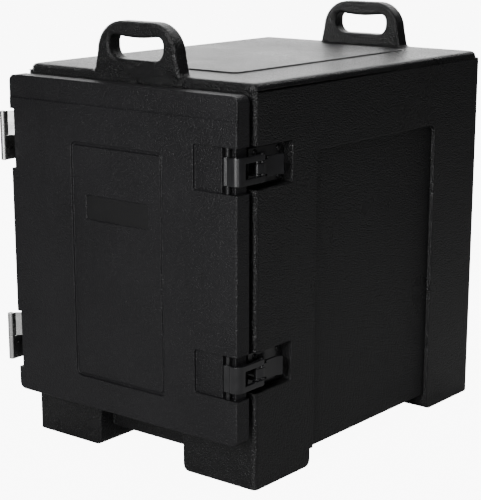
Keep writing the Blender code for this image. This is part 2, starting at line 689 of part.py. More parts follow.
def latch_hook(which):
    """The draw hook: two arms from the lever's pin to a rolled lip over the door's keeper."""
    middle = LATCH_HEIGHTS[which]
    outer_face = 0.2195
    inner_face = 0.2155
    front_face = KEEPER.y - KEEPER_RADIUS - 0.0045
    corner = 0.006
    back = -0.3180
    seat = KEEPER_RADIUS + 0.0004
    lip_angle = 18.0
    touch = KEEPER + seat * Vector((-math.sin(math.radians(lip_angle)), -math.cos(math.radians(lip_angle))))
    slope = Vector((-math.cos(math.radians(lip_angle)), math.sin(math.radians(lip_angle))))
    tip = touch + 0.0040 * slope
    bead = 0.0024
    plate = [(outer_face, back)]
    plate += arc((outer_face - corner, front_face + corner), corner, 0, -90, 4)
    plate += arc((tip.x + 0.0018, tip.y - bead - 0.0008), bead, 300, 110, 5)
    plate += [tuple(touch)]
    plate += arc(KEEPER, seat, 270 - lip_angle, 270 + 30, 3)[1:]
    plate += [(inner_face - 0.004, front_face + 0.0045), (inner_face, front_face + 0.0085), (inner_face, back)]
    hook = prism(f"{which}_latch_hook", plate[::-1], "Z", middle - 0.0185, middle + 0.0185)
    arm = [(inner_face, back - 0.001), (outer_face, back - 0.001), (HOOK_AXIS.x + 0.0036, HOOK_AXIS.y), (HOOK_AXIS.x - 0.0005, HOOK_AXIS.y)]
    for side in (-1, 1):
        ends = sorted((middle + side * ARM_INNER, middle + side * ARM_OUTER))
        join(hook, prism("arm", arm, "Z", *ends), rod("eye", HOOK_AXIS, 0.0036, "Z", *ends))
    cut(hook, rod("pin_hole", HOOK_AXIS, LATCH_PIN_RADIUS + BORE_CLEARANCE, "Z", middle - 0.03, middle + 0.03))
    finish(hook, "nylon", (*HOOK_AXIS, middle))
    half = ARM_OUTER + 0.0010
    pin = rod(f"{which}_hook_pin", HOOK_AXIS, LATCH_PIN_RADIUS, "Z", middle - half, middle + half)
    finish(pin, "black_steel", (*HOOK_AXIS, middle))


def keeper(which):
    """The upright rod in the door's pocket that the hook pulls on."""
    middle = LATCH_HEIGHTS[which]
    made = rod(f"{which}_keeper_rod", KEEPER, KEEPER_RADIUS, "Z", middle - KEEPER_HALF, middle + KEEPER_HALF)
    finish(made, "black_steel", hinge_origin())


# Whole object ------------------------------------------------------------------------------

def main():
    for thing in list(bpy.data.objects):
        bpy.data.objects.remove(thing)
    carrier = bpy.data.objects.new("carrier", None)
    carrier.location = -OBJECT_CENTRE
    bpy.context.scene.collection.objects.link(carrier)

    outer_shell()
    insulation()
    liner()
    door_front()
    door_back()
    door_insulation()
    door_gasket()
    for which in ("upper", "lower"):
        hinge(which)
        latch_base(which)
        latch_lever(which)
        latch_hook(which)
        keeper(which)
    bpy.context.view_layer.update()


main()
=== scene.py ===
"""Builds the looks of a front-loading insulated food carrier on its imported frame."""

import json
import math

import bmesh
import bpy
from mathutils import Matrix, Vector

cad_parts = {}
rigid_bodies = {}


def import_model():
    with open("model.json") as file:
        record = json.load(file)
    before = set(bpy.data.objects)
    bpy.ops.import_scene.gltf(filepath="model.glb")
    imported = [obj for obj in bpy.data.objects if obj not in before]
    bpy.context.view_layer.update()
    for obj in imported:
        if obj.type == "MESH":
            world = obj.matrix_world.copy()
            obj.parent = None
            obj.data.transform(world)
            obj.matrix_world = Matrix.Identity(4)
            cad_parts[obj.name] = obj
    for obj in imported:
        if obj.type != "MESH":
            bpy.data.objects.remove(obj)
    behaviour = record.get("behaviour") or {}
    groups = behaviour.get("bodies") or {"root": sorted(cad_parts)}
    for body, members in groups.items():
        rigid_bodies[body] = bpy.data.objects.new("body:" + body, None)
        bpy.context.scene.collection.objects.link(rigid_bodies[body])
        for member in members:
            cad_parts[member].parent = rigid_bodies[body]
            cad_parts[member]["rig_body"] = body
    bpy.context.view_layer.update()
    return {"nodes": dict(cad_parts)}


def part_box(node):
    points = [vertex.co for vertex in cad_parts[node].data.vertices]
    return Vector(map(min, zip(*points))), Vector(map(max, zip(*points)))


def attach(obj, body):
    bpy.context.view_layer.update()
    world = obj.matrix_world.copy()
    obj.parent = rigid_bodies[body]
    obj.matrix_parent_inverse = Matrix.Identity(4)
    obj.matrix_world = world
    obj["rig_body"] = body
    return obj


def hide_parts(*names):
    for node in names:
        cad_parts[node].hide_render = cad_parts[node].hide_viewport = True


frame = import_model()

bl_info = {
    "name": "Insulated food carrier",
    "version": (1, 0, 0),
    "blender": (4, 5, 0),
    "location": "3D View > Sidebar > Carrier",
    "description": "Builds a roto-moulded food carrier with its door, hinges and latches",
    "category": "Object",
}

SHELL_LOW, SHELL_HIGH = (Vector(corner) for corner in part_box("body_outer_shell"))
DOOR_LOW = Vector(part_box("door_outer_shell")[0])
CENTRE_X = (SHELL_LOW.x + SHELL_HIGH.x) / 2
CENTRE_Y = (SHELL_LOW.y + SHELL_HIGH.y) / 2
SLAB_TOP = 0.570
WHICH = ("upper", "lower")


# Sizes and colours -------------------------------------------------------------------------

class CarrierMoulding(bpy.types.PropertyGroup):
    edge_radius: bpy.props.FloatProperty(
        name="Edge radius", description="Rounding of the moulding's edges", default=0.0016, unit="LENGTH")
    handle_radius: bpy.props.FloatProperty(
        name="Grip radius", description="Rounding of the carrying handles", default=0.0055, unit="LENGTH")
    fillet: bpy.props.FloatProperty(
        name="Handle fillet", description="Fillet where a handle leaves the top",
        default=0.006, unit="LENGTH")
    body_colour: bpy.props.FloatVectorProperty(
        name="Body", description="Colour of the body's polyethylene", subtype="COLOR",
        default=(0.0080, 0.0080, 0.0084))
    door_colour: bpy.props.FloatVectorProperty(
        name="Door", description="Colour of the door's polyethylene", subtype="COLOR",
        default=(0.0090, 0.0088, 0.0098))
    grain_size: bpy.props.FloatProperty(
        name="Grain size", description="Width of one pebble of the surface grain",
        default=0.0020, unit="LENGTH")
    grain_depth: bpy.props.FloatProperty(
        name="Grain depth", description="Height of the surface grain", default=0.0010, unit="LENGTH")


class CarrierHardware(bpy.types.PropertyGroup):
    steel_colour: bpy.props.FloatVectorProperty(
        name="Steel", description="Colour of the hinges and screws",
        subtype="COLOR", default=(0.78, 0.78, 0.77))
    nylon_colour: bpy.props.FloatVectorProperty(
        name="Latch nylon", description="Colour of the latches",
        subtype="COLOR", default=(0.010, 0.010, 0.011))
    foam_colour: bpy.props.FloatVectorProperty(
        name="Foam", description="Colour of the insulation", subtype="COLOR", default=(0.80, 0.70, 0.45))
    latch_edge: bpy.props.FloatProperty(
        name="Latch edge", description="Rounding of the latches' edges", default=0.0006, unit="LENGTH")
    sheet_edge: bpy.props.FloatProperty(
        name="Leaf edge", description="Rounding of the hinge leaves' edges", default=0.0003, unit="LENGTH")


class CarrierStage(bpy.types.PropertyGroup):
    focal_length: bpy.props.FloatProperty(
        name="Lens", description="Focal length in millimetres", default=107.89)
    lift: bpy.props.FloatProperty(name="Lift", description="Upward shift of the view", default=0.09)
    floor_colour: bpy.props.FloatVectorProperty(
        name="Floor", description="Colour of the floor", subtype="COLOR", default=(0.40, 0.40, 0.40))
    floor_glow: bpy.props.FloatProperty(
        name="Floor glow", description="Brightness of the floor and backdrop for the camera only",
        default=9.0)
    ambient: bpy.props.FloatProperty(
        name="Ambient", description="Strength of the light from all around", default=0.025)
    camera_turn: bpy.props.FloatProperty(
        name="Turn", description="Camera's turn around the carrier, in degrees", default=38.682)
    camera_rise: bpy.props.FloatProperty(
        name="Rise", description="Camera's height angle, in degrees", default=14.730)
    camera_distance: bpy.props.FloatProperty(
        name="Distance", description="Camera's distance from its target", default=2.4300)


def moulding():
    return bpy.context.scene.carrier_moulding


def hardware():
    return bpy.context.scene.carrier_hardware


# Shader groups -----------------------------------------------------------------------------

def add_socket(group, name, direction, kind, default=None):
    socket = group.interface.new_socket(name=name, in_out=direction, socket_type=kind)
    if default is not None:
        socket.default_value = default
    return socket


def new_group(name):
    group = bpy.data.node_groups.new(name, "ShaderNodeTree")
    return group, group.nodes.new("NodeGroupInput"), group.nodes.new("NodeGroupOutput")


def pebble_grain():
    """The pebbled skin of a sand-blasted mould: a height, and a mask of its highest spots."""
    if "Pebble grain" in bpy.data.node_groups:
        return bpy.data.node_groups["Pebble grain"]
    group, inside, outside = new_group("Pebble grain")
    add_socket(group, "Pebbles per metre", "INPUT", "NodeSocketFloat", 600.0)
    add_socket(group, "Height", "OUTPUT", "NodeSocketFloat")
    add_socket(group, "Spots", "OUTPUT", "NodeSocketFloat")
    nodes, links = group.nodes, group.links
    place = nodes.new("ShaderNodeTexCoord")
    cells = nodes.new("ShaderNodeTexVoronoi")
    cells.feature = "SMOOTH_F1"
    cells.inputs["Smoothness"].default_value = 0.6
    links.new(place.outputs["Object"], cells.inputs["Vector"])
    links.new(inside.outputs["Pebbles per metre"], cells.inputs["Scale"])
    noise = nodes.new("ShaderNodeTexNoise")
    noise.inputs["Detail"].default_value = 2.0
    links.new(place.outputs["Object"], noise.inputs["Vector"])
    links.new(inside.outputs["Pebbles per metre"], noise.inputs["Scale"])
    mixed = nodes.new("ShaderNodeMath")
    mixed.operation = "SUBTRACT"
    links.new(noise.outputs["Fac"], mixed.inputs[0])
    links.new(cells.outputs["Distance"], mixed.inputs[1])
    links.new(mixed.outputs[0], outside.inputs["Height"])
    spots = nodes.new("ShaderNodeMapRange")
    spots.inputs["From Min"].default_value = 0.30
    spots.inputs["From Max"].default_value = 0.55
    links.new(mixed.outputs[0], spots.inputs["Value"])
    links.new(spots.outputs["Result"], outside.inputs["Spots"])
    return group


def handling_marks():
    """Slow changes of tone and gloss, with a few soft rubbed places."""
    if "Handling marks" in bpy.data.node_groups:
        return bpy.data.node_groups["Handling marks"]
    group, inside, outside = new_group("Handling marks")
    add_socket(group, "Base", "INPUT", "NodeSocketColor", (0.01, 0.01, 0.01, 1.0))
    add_socket(group, "Rubbed", "INPUT", "NodeSocketColor", (0.03, 0.03, 0.03, 1.0))
    add_socket(group, "Low gloss", "INPUT", "NodeSocketFloat", 0.4)
    add_socket(group, "High gloss", "INPUT", "NodeSocketFloat", 0.5)
    add_socket(group, "Patches per metre", "INPUT", "NodeSocketFloat", 12.0)
    add_socket(group, "Color", "OUTPUT", "NodeSocketColor")
    add_socket(group, "Roughness", "OUTPUT", "NodeSocketFloat")
    nodes, links = group.nodes, group.links
    place = nodes.new("ShaderNodeTexCoord")
    noise = nodes.new("ShaderNodeTexNoise")
    noise.inputs["Detail"].default_value = 5.0
    noise.inputs["Roughness"].default_value = 0.6
    links.new(place.outputs["Object"], noise.inputs["Vector"])
    links.new(inside.outputs["Patches per metre"], noise.inputs["Scale"])
    spread = nodes.new("ShaderNodeMapRange")
    spread.inputs["From Min"].default_value = 0.35
    spread.inputs["From Max"].default_value = 0.75
    links.new(noise.outputs["Fac"], spread.inputs["Value"])
    tone = nodes.new("ShaderNodeMix")
    tone.data_type = "RGBA"
    links.new(spread.outputs["Result"], tone.inputs["Factor"])
    links.new(inside.outputs["Base"], tone.inputs["A"])
    links.new(inside.outputs["Rubbed"], tone.inputs["B"])
    links.new(tone.outputs["Result"], outside.inputs["Color"])
    gloss = nodes.new("ShaderNodeMix")
    links.new(spread.outputs["Result"], gloss.inputs["Factor"])
    links.new(inside.outputs["Low gloss"], gloss.inputs["A"])
    links.new(inside.outputs["High gloss"], gloss.inputs["B"])
    links.new(gloss.outputs["Result"], outside.inputs["Roughness"])
    return group


def place_group(material, group, values):
    node = material.node_tree.nodes.new("ShaderNodeGroup")
    node.node_tree = group
    for name, value in values.items():
        node.inputs[name].default_value = value
    return node


def new_material(name):
    material = bpy.data.materials.new(name)
    material.use_nodes = True
    return material, material.node_tree.nodes["Principled BSDF"]


def add_bump(material, shader, height, distance, strength=1.0):
    bump = material.node_tree.nodes.new("ShaderNodeBump")
    bump.inputs["Distance"].default_value = distance
    bump.inputs["Strength"].default_value = strength
    material.node_tree.links.new(height, bump.inputs["Height"])
    material.node_tree.links.new(bump.outputs["Normal"], shader.inputs["Normal"])
    return bump


def with_alpha(colour):
    return (*colour, 1.0)


def lighter(colour, times):
    return (*[min(1.0, channel * times) for channel in colour], 1.0)


# Materials ---------------------------------------------------------------------------------

def polyethylene(name, colour, roughness, depth, specular=0.35):
    """Pebbled roto-moulded polyethylene, with painted glints: the grain's high spots get a lighter colour.
    """
    if name in bpy.data.materials:
        return bpy.data.materials[name]
    material, shader = new_material(name)
    links = material.node_tree.links
    shader.inputs["Specular IOR Level"].default_value = specular
    marks = place_group(material, handling_marks(), {
        "Base": with_alpha(colour), "Rubbed": lighter(colour, 1.35),
        "Low gloss": roughness - 0.04, "High gloss": roughness + 0.05, "Patches per metre": 9.0})
    grain = place_group(material, pebble_grain(), {"Pebbles per metre": 1.0 / moulding().grain_size})
    # Painted glints: the grain's high spots get a colour 2.4 times lighter, standing in for the sparkle of
    # light on the pebbles.
    painted_glint = material.node_tree.nodes.new("ShaderNodeMix")
    painted_glint.data_type = "RGBA"
    painted_glint.inputs["B"].default_value = lighter(colour, 2.4)
    links.new(grain.outputs["Spots"], painted_glint.inputs["Factor"])
    links.new(marks.outputs["Color"], painted_glint.inputs["A"])
    links.new(painted_glint.outputs["Result"], shader.inputs["Base Color"])
    polish = material.node_tree.nodes.new("ShaderNodeMath")
    polish.operation = "MULTIPLY_ADD"
    polish.inputs[1].default_value = -0.14
    links.new(grain.outputs["Spots"], polish.inputs[0])
    links.new(marks.outputs["Roughness"], polish.inputs[2])
    links.new(polish.outputs[0], shader.inputs["Roughness"])
    add_bump(material, shader, grain.outputs["Height"], depth)
    return material


def plain_finish(material, shader, marks, pebbles, depth):
    """Gives a material its handling marks and a grain, and nothing else."""
    links = material.node_tree.links
    marked = place_group(material, handling_marks(), marks)
    grain = place_group(material, pebble_grain(), {"Pebbles per metre": pebbles})
    links.new(marked.outputs["Color"], shader.inputs["Base Color"])
    links.new(marked.outputs["Roughness"], shader.inputs["Roughness"])
    add_bump(material, shader, grain.outputs["Height"], depth)
    return material


def body_plastic():
    depth = moulding().grain_depth * 1.15
    return polyethylene("Body polyethylene", moulding().body_colour, 0.31, depth, 0.36)


def door_plastic():
    return polyethylene("Door polyethylene", moulding().door_colour, 0.42, moulding().grain_depth * 0.85)


def liner_plastic():
    return polyethylene("Liner polyethylene", moulding().body_colour, 0.5, moulding().grain_depth * 0.4)


def nylon():
    """Glossy injection-moulded nylon with faint flow marks."""
    if "Latch nylon" in bpy.data.materials:
        return bpy.data.materials["Latch nylon"]
    material, shader = new_material("Latch nylon")
    shader.inputs["Specular IOR Level"].default_value = 0.6
    colour = hardware().nylon_colour
    marks = {"Base": with_alpha(colour), "Rubbed": lighter(colour, 1.6),
             "Low gloss": 0.16, "High gloss": 0.27, "Patches per metre": 90.0}
    return plain_finish(material, shader, marks, 1500.0, 0.00003)


def rubber():
    if "Gasket rubber" in bpy.data.materials:
        return bpy.data.materials["Gasket rubber"]
    material, shader = new_material("Gasket rubber")
    shader.inputs["Specular IOR Level"].default_value = 0.25
    marks = {"Base": (0.009, 0.009, 0.009, 1.0), "Rubbed": (0.02, 0.02, 0.02, 1.0),
             "Low gloss": 0.65, "High gloss": 0.8, "Patches per metre": 60.0}
    return plain_finish(material, shader, marks, 2500.0, 0.00004)


def foam():
    """Cut polyurethane foam with small open cells."""
    if "Foam" in bpy.data.materials:
        return bpy.data.materials["Foam"]
    material, shader = new_material("Foam")
    colour = hardware().foam_colour
    marks = {"Base": with_alpha(colour), "Rubbed": lighter(colour, 0.8),
             "Low gloss": 0.85, "High gloss": 0.95, "Patches per metre": 40.0}
    return plain_finish(material, shader, marks, 900.0, 0.0004)


def steel(name="Hinge steel", stretch=(1.0, 1.0, 0.03), low=0.18, high=0.34):
    """Brushed stainless steel, with its grain along the stretched direction."""
    if name in bpy.data.materials:
        return bpy.data.materials[name]
    material, shader = new_material(name)
    nodes, links = material.node_tree.nodes, material.node_tree.links
    shader.inputs["Metallic"].default_value = 1.0
    place = nodes.new("ShaderNodeTexCoord")
    mapping = nodes.new("ShaderNodeMapping")
    mapping.inputs["Scale"].default_value = stretch
    links.new(place.outputs["Object"], mapping.inputs["Vector"])
    lines = nodes.new("ShaderNodeTexNoise")
    lines.inputs["Scale"].default_value = 2200.0
    lines.inputs["Detail"].default_value = 3.0
    links.new(mapping.outputs["Vector"], lines.inputs["Vector"])
    colour = hardware().steel_colour
    marks = place_group(material, handling_marks(), {
        "Base": with_alpha(colour), "Rubbed": lighter(colour, 0.86),
        "Low gloss": low, "High gloss": high, "Patches per metre": 70.0})
    links.new(marks.outputs["Color"], shader.inputs["Base Color"])
    links.new(marks.outputs["Roughness"], shader.inputs["Roughness"])
    add_bump(material, shader, lines.outputs["Fac"], 0.00002)
    return material


def blackened():
    """Black-oxide steel, glossy enough to catch the lights."""
    if "Blackened steel" in bpy.data.materials:
        return bpy.data.materials["Blackened steel"]
    material, shader = new_material("Blackened steel")
    shader.inputs["Metallic"].default_value = 0.35
    marks = {"Base": (0.012, 0.012, 0.013, 1.0), "Rubbed": (0.045, 0.045, 0.046, 1.0),
             "Low gloss": 0.22, "High gloss": 0.36, "Patches per metre": 160.0}
    return plain_finish(material, shader, marks, 2600.0, 0.00002)


# Mesh helpers ------------------------------------------------------------------------------

def finish_piece(name, shape, material, body):
    """Puts a mesh in the scene as a smooth piece of the given body."""
    mesh = bpy.data.meshes.new(name)
    shape.to_mesh(mesh)
    shape.free()
    mesh.materials.clear()
    mesh.materials.append(material)
    mesh.shade_smooth()
    mesh.set_sharp_from_angle(angle=math.radians(40))
    piece = bpy.data.objects.new(name, mesh)
    bpy.context.scene.collection.objects.link(piece)
    weighted = piece.modifiers.new("Flat faces", "WEIGHTED_NORMAL")
    weighted.keep_sharp = True
    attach(piece, body)
    return piece


def node_shape(node):
    """A node's mesh, with the triangles of each flat face joined up again."""
    shape = bmesh.new()
    shape.from_mesh(frame["nodes"][node].data)
    bmesh.ops.remove_doubles(shape, verts=shape.verts, dist=0.000005)
    bmesh.ops.dissolve_limit(shape, angle_limit=math.radians(0.6), verts=shape.verts, edges=shape.edges)
    return shape


def sharp_edges(shape, degrees, chosen):
    found = []
    for edge in shape.edges:
        if len(edge.link_faces) != 2 or edge.calc_length() < 0.00005:
            continue
        if edge.calc_face_angle(0.0) > math.radians(degrees):
            if chosen((edge.verts[0].co + edge.verts[1].co) / 2):
                found.append(edge)
    return found


def soften(shape, width, segments=2, degrees=32, chosen=lambda middle: True):
    """Rounds a shape's sharp edges."""
    edges = sharp_edges(shape, degrees, chosen)
    bmesh.ops.bevel(shape, geom=edges, offset=width, segments=segments, profile=0.5, affect="EDGES",
                    clamp_overlap=False, loop_slide=True)
    return shape


def arc(centre, radius, start, end, steps):
    points = []
    for step in range(steps + 1):
        angle = math.radians(start + (end - start) * step / steps)
        points.append((centre[0] + radius * math.cos(angle), centre[1] + radius * math.sin(angle)))
    return points


def pushed(outline, place, low, high):
    """A solid from an outline, where place turns its two coordinates and a height into a point."""
    shape = bmesh.new()
    face = shape.faces.new([shape.verts.new(place(a, b, low)) for a, b in outline])
    moved = bmesh.ops.extrude_face_region(shape, geom=[face])["geom"]
    step = Vector(place(0.0, 0.0, high)) - Vector(place(0.0, 0.0, low))
    far = [item for item in moved if isinstance(item, bmesh.types.BMVert)]
    bmesh.ops.translate(shape, vec=step, verts=far)
    bmesh.ops.recalc_face_normals(shape, faces=shape.faces)
    return shape


def cut_shape(shape, cutter):
    """Cuts one shape out of another."""
    objects = []
    for part in (shape, cutter):
        mesh = bpy.data.meshes.new("working")
        part.to_mesh(mesh)
        part.free()
        thing = bpy.data.objects.new("working", mesh)
        bpy.context.scene.collection.objects.link(thing)
        objects.append(thing)
    modifier = objects[0].modifiers.new("Cut", "BOOLEAN")
    modifier.operation = "DIFFERENCE"
    modifier.solver = "EXACT"
    modifier.object = objects[1]
    bpy.context.view_layer.update()
    seen = objects[0].evaluated_get(bpy.context.evaluated_depsgraph_get())
    result = bmesh.new()
    result.from_mesh(seen.to_mesh())
    seen.to_mesh_clear()
    for thing in objects:
        mesh = thing.data
        bpy.data.objects.remove(thing)
        bpy.data.meshes.remove(mesh)
    return result


def replace_node(node, shape, material):
    """Stands a finished piece in for a node."""
    body = frame["nodes"][node]["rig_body"]
    piece = finish_piece(f"{node}_skin", shape, material, body)
    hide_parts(node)
    return piece


def coat_node(node, material):
    """Gives a node that keeps its shape a finished material."""
    mesh = frame["nodes"][node].data
    mesh.materials.clear()
    mesh.materials.append(material)


# Body --------------------------------------------------------------------------------------

def handle_outline(fillet):
    """The handle's front view: fillets at the base, then a tapered loop with big shoulders."""
    base, top = 0.0785, SHELL_HIGH.z
    bulge = 0.045
    root = SLAB_TOP
    right = [(base + fillet, root - 0.003)]
    right += arc((base + fillet, root + fillet), fillet, 270, 180, 5)
    right += arc((base - 0.0045 - bulge, top - bulge), bulge, 2, 90, 14)
    left = [(-x, z) for x, z in right][::-1]
    return right + left


def slot_outline():
    """The finger slot: round at the bottom corners, with a grip that swells down."""
    half, low, high = 0.0500, 0.5878, 0.6205
    swell = 0.0030
    points = arc((-half + 0.0165, low + 0.0165), 0.0165, 180, 270, 8)
    points += arc((half - 0.0165, low + 0.0165), 0.0165, 270, 360, 8)
    points += arc((half - 0.011, high - 0.011), 0.011, 0, 80, 6)
    for step in range(1, 12):
        x = (half - 0.011) * (1 - step / 6.0)
        bend = math.cos(math.pi * x / (2 * (half - 0.011)))
        points.append((x, high - swell * bend))
    points += arc((-half + 0.011, high - 0.011), 0.011, 100, 180, 6)
    return points


def carrying_handle(name, side):
    """A moulded carrying handle with a fully rounded grip."""
    outer = SHELL_LOW.y + 0.0008 if side < 0 else SHELL_HIGH.y - 0.0008
    inner = outer - side * 0.0275
    low, high = min(outer, inner), max(outer, inner)

    def place(x, z, y):
        return (CENTRE_X + x, y, z)

    grip = pushed(handle_outline(moulding().fillet), place, low, high)
    grip = cut_shape(grip, pushed(slot_outline(), place, low - 0.01, high + 0.01))
    radius = moulding().handle_radius

    def is_rim(middle):
        on_face = min(abs(middle.y - low), abs(middle.y - high)) < 0.0001
        return on_face and middle.z > SLAB_TOP - 0.002

    soften(grip, radius, 6, 32, is_rim)
    return finish_piece(name, grip, body_plastic(), "body")


class CARRIER_OT_mould_body(bpy.types.Operator):
    """Mould the body's outer shell and its two carrying handles"""
    bl_idname = "carrier.mould_body"
    bl_label = "Mould the body"

    def execute(self, context):
        shape = node_shape("body_outer_shell")
        cut_height = SLAB_TOP + 0.0026
        bmesh.ops.bisect_plane(shape, geom=[*shape.verts, *shape.edges, *shape.faces],
                               plane_co=(0.0, 0.0, cut_height), plane_no=(0.0, 0.0, 1.0), clear_outer=True)
        soften(shape, moulding().edge_radius, 2, 32, lambda middle: middle.z < cut_height - 0.0001)
        replace_node("body_outer_shell", shape, body_plastic())
        carrying_handle("front_handle_grip", -1)
        carrying_handle("rear_handle_grip", 1)
        return {"FINISHED"}


class CARRIER_OT_line_cavity(bpy.types.Operator):
    """Line the cavity and fill the walls with foam"""
    bl_idname = "carrier.line_cavity"
    bl_label = "Line the cavity"

    def execute(self, context):
        shape = soften(node_shape("body_liner"), 0.0020, 3)
        replace_node("body_liner", shape, liner_plastic())
        coat_node("body_insulation", foam())
        coat_node("door_insulation", foam())
        return {"FINISHED"}


# Door --------------------------------------------------------------------------------------

def polish_plate(piece):
    """Gives the blank name plate's recess its smoother floor."""
    piece.data.materials.append(liner_plastic())
    for face in piece.data.polygons:
        middle = face.center
        across = abs(middle.x - CENTRE_X + 0.003) < 0.058 and 0.3625 < middle.z < 0.3935
        if across and middle.y < DOOR_LOW.y + 0.003 and face.area > 0.0005:
            face.material_index = 1


class CARRIER_OT_mould_door(bpy.types.Operator):
    """Mould the door's two shells and fit its gasket"""
    bl_idname = "carrier.mould_door"
    bl_label = "Mould the door"

    def execute(self, context):
        shape = soften(node_shape("door_outer_shell"), 0.0012, 2)
        polish_plate(replace_node("door_outer_shell", shape, door_plastic()))
        shape = soften(node_shape("door_inner_shell"), 0.0012, 2)
        replace_node("door_inner_shell", shape, liner_plastic())
        shape = soften(node_shape("door_gasket"), 0.0028, 3)
        replace_node("door_gasket", shape, rubber())
        return {"FINISHED"}


# Hardware ----------------------------------------------------------------------------------

class CARRIER_OT_fit_hinges(bpy.types.Operator):
    """Fit the stainless hinges and their pins"""
    bl_idname = "carrier.fit_hinges"
    bl_label = "Fit the hinges"

    def execute(self, context):
        for which in WHICH:
            for leaf in ("door", "body"):
                node = f"{which}_hinge_{leaf}_leaf"
                shape = soften(node_shape(node), hardware().sheet_edge, 2)
                replace_node(node, shape, steel())
            coat_node(f"{which}_hinge_pin", steel("Pin steel", (1.0, 1.0, 1.0), 0.15, 0.22))
        return {"FINISHED"}


def rolled_plate(keeper):
    """The hook's plan: a bead at the lip, a groove, then one big roll round the corner."""
    front, outer, inner = keeper.y - 0.0075, keeper.x + 0.0238, keeper.x + 0.0198
    back = keeper.y + 0.0078
    plan = [(outer, back)]
    plan += arc((outer - 0.0110, front + 0.0110), 0.0110, 0, -90, 10)
    plan += arc((outer - 0.0125, front + 0.0070), 0.0070, 262, 222, 5)
    plan += [(keeper.x + 0.0030, front + 0.0026)]
    plan += arc((keeper.x - 0.0012, front + 0.0030), 0.0027, 330, 190, 9)
    plan += arc((keeper.x - 0.0040, keeper.y - 0.0026), 0.0012, 200, 110, 4)
    plan += arc(keeper, 0.0034, 252, 300, 6)
    plan += [(inner - 0.0040, front + 0.0045), (inner, front + 0.0085), (inner, back)]
    return plan


def hook_shape(which):
    """A draw hook: the rolled plate over the keeper, and two arms back to the lever's pin."""
    low, high = (Vector(corner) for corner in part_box(f"{which}_latch_hook"))
    rod_low, rod_high = (Vector(corner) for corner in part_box(f"{which}_keeper_rod"))
    pin_low, pin_high = (Vector(corner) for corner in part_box(f"{which}_hook_pin"))
    keeper, pin = (rod_low + rod_high) / 2, (pin_low + pin_high) / 2
    edge = hardware().latch_edge

    def place(x, y, z):
        return (x, y, z)

    plan = [(x, y) for x, y in rolled_plate(keeper.to_2d())]
    shape = soften(pushed(plan, place, low.z, high.z), edge, 2, 50)
    arm = [(keeper.x + 0.0198, keeper.y + 0.0068), (keeper.x + 0.0238, keeper.y + 0.0068)]
    arm += arc(pin.to_2d(), 0.0037, 0, 180, 12)
    for side in (-1, 1):
        ends = sorted((pin.z + side * 0.0106, pin.z + side * 0.0188))
        bar = soften(pushed(arm, place, *ends), edge, 2, 50)
        mesh = bpy.data.meshes.new("working")
        bar.to_mesh(mesh)
        bar.free()
        shape.from_mesh(mesh)
        bpy.data.meshes.remove(mesh)
    return shape


class CARRIER_OT_fit_latches(bpy.types.Operator):
    """Fit the draw latches, their pins and the keeper rods"""
    bl_idname = "carrier.fit_latches"
    bl_label = "Fit the latches"

    def execute(self, context):
        for which in WHICH:
            for part in ("base", "lever"):
                node = f"{which}_latch_{part}"
                shape = soften(node_shape(node), hardware().latch_edge, 2)
                replace_node(node, shape, nylon())
            replace_node(f"{which}_latch_hook", hook_shape(which), nylon())
            for part in ("lever_pin", "hook_pin", "keeper_rod"):
                coat_node(f"{which}_{part}", blackened())
        return {"FINISHED"}


def screw_shape(node, towards):
    """A domed screw head with a cross recess, on its shank."""
    low, high = (Vector(corner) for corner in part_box(node))
    middle = (low + high) / 2
    top = low.x if towards < 0 else high.x
    tip = high.x if towards < 0 else low.x
    radius = (high.z - low.z) / 2
    outline = [(0.0, 0.0), (0.35, -0.02), (0.65, -0.10), (0.86, -0.24), (0.97, -0.42), (1.0, -0.5)]
    rings = [(part * radius, top - towards * -depth * 0.004) for part, depth in outline]
    rings += [(0.0024, top - towards * 0.0021), (0.0024, tip), (0.0, tip)]
    shape = bmesh.new()
    count = 24
    made = []
    for reach, along in rings:
        if reach == 0.0:
            made.append([shape.verts.new((along, middle.y, middle.z))])
            continue
        ring = []
        for step in range(count):
            angle = 2 * math.pi * step / count
            ring.append(shape.verts.new((
                along, middle.y + reach * math.cos(angle), middle.z + reach * math.sin(angle))))
        made.append(ring)
    for first, second in zip(made, made[1:]):
        for step in range(count):
            following = (step + 1) % count
            if len(first) == 1:
                shape.faces.new((first[0], second[step], second[following]))
            elif len(second) == 1:
                shape.faces.new((first[step], second[0], first[following]))
            else:
                shape.faces.new((first[step], second[step], second[following], first[following]))
    bmesh.ops.recalc_face_normals(shape, faces=shape.faces)

    def place(y, z, x):
        return (x, middle.y + y, middle.z + z)

    wide, narrow = radius * 0.52, radius * 0.13
    quarter = [(wide, narrow), (narrow, narrow), (narrow, wide)]
    half = quarter + [(-y, z) for y, z in quarter[::-1]]
    cross = half + [(-y, -z) for y, z in half]
    ends = sorted((top + towards * 0.001, top - towards * 0.0011))
    return cut_shape(shape, pushed(cross, place, *ends))


class CARRIER_OT_drive_screws(bpy.types.Operator):
    """Drive the screws that hold the hinges and the latch bases"""
    bl_idname = "carrier.drive_screws"
    bl_label = "Drive the screws"

    def execute(self, context):
        for node in frame["nodes"]:
            if "_screw_" not in node:
                continue
            if "latch" in node:
                replace_node(node, screw_shape(node, 1), blackened())
            else:
                bright = steel("Screw steel", (1.0, 1.0, 1.0), 0.2, 0.3)
                replace_node(node, screw_shape(node, -1), bright)
        return {"FINISHED"}


# Stage -------------------------------------------------------------------------------------

def area_light(name, location, target, size, power, colour=(1.0, 1.0, 1.0)):
    data = bpy.data.lights.new(name, "AREA")
    data.shape = "RECTANGLE"
    data.size, data.size_y = size
    data.energy = power
    data.color = colour
    lamp = bpy.data.objects.new(name, data)
    lamp.location = location
    lamp.rotation_euler = (Vector(target) - Vector(location)).to_track_quat("-Z", "Y").to_euler()
    bpy.context.scene.collection.objects.link(lamp)
    return lamp


